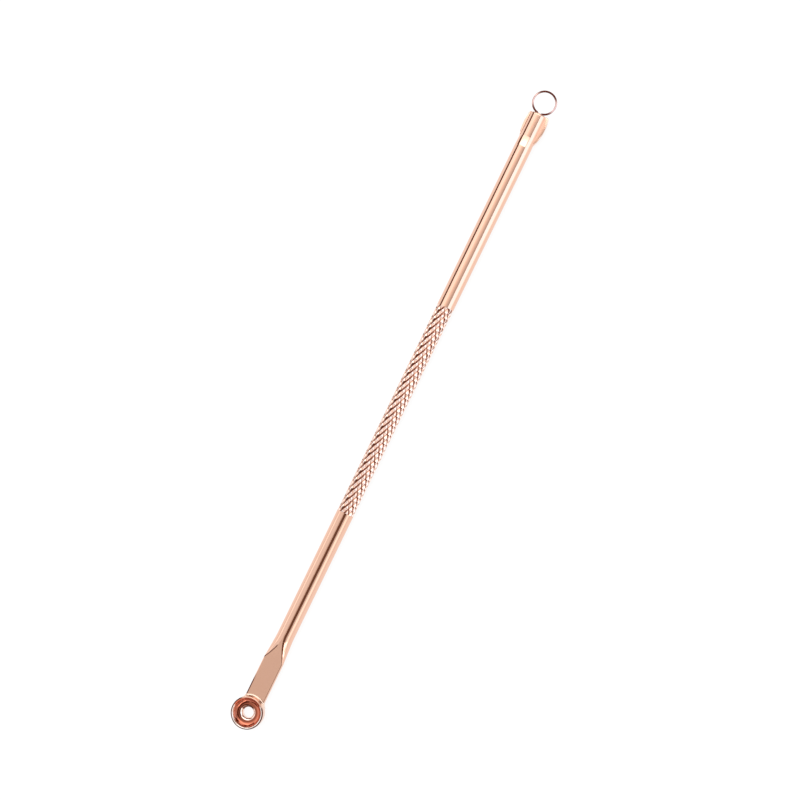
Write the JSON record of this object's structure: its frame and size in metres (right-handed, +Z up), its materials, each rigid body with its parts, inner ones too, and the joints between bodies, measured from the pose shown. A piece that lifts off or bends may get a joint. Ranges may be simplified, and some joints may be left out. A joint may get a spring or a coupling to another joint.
{
  "type": "blackhead extractor",
  "caption": "Slim hand tool: a round rod with a knurled grip, a small pierced cup on a flattened blade at one end and a fine wire loop at the other.",
  "frame": {"origin": "centre of the tool's bounding box on its underside, on the line that the shaft rests on", "axes": "+X along the tool from the cup to the wire loop, +Z up out of the cup's opening, +Y across the blade"},
  "size_m": [0.12, 0.0056, 0.0031],
  "materials": {
    "plated_steel": "polished rose-gold plating over stainless steel",
    "cup_steel": "polished rose-gold plating, deeper in colour inside the bowl",
    "braze": "plated silver braze, smooth",
    "loop_wire": "polished rose-gold plated spring wire"
  },
  "bodies": {
    "root": {"handle_rod": "plated_steel", "extractor_cup": "cup_steel", "cup_braze": "braze", "wire_loop": "loop_wire", "loop_braze": "braze"}
  },
  "joints": []
}
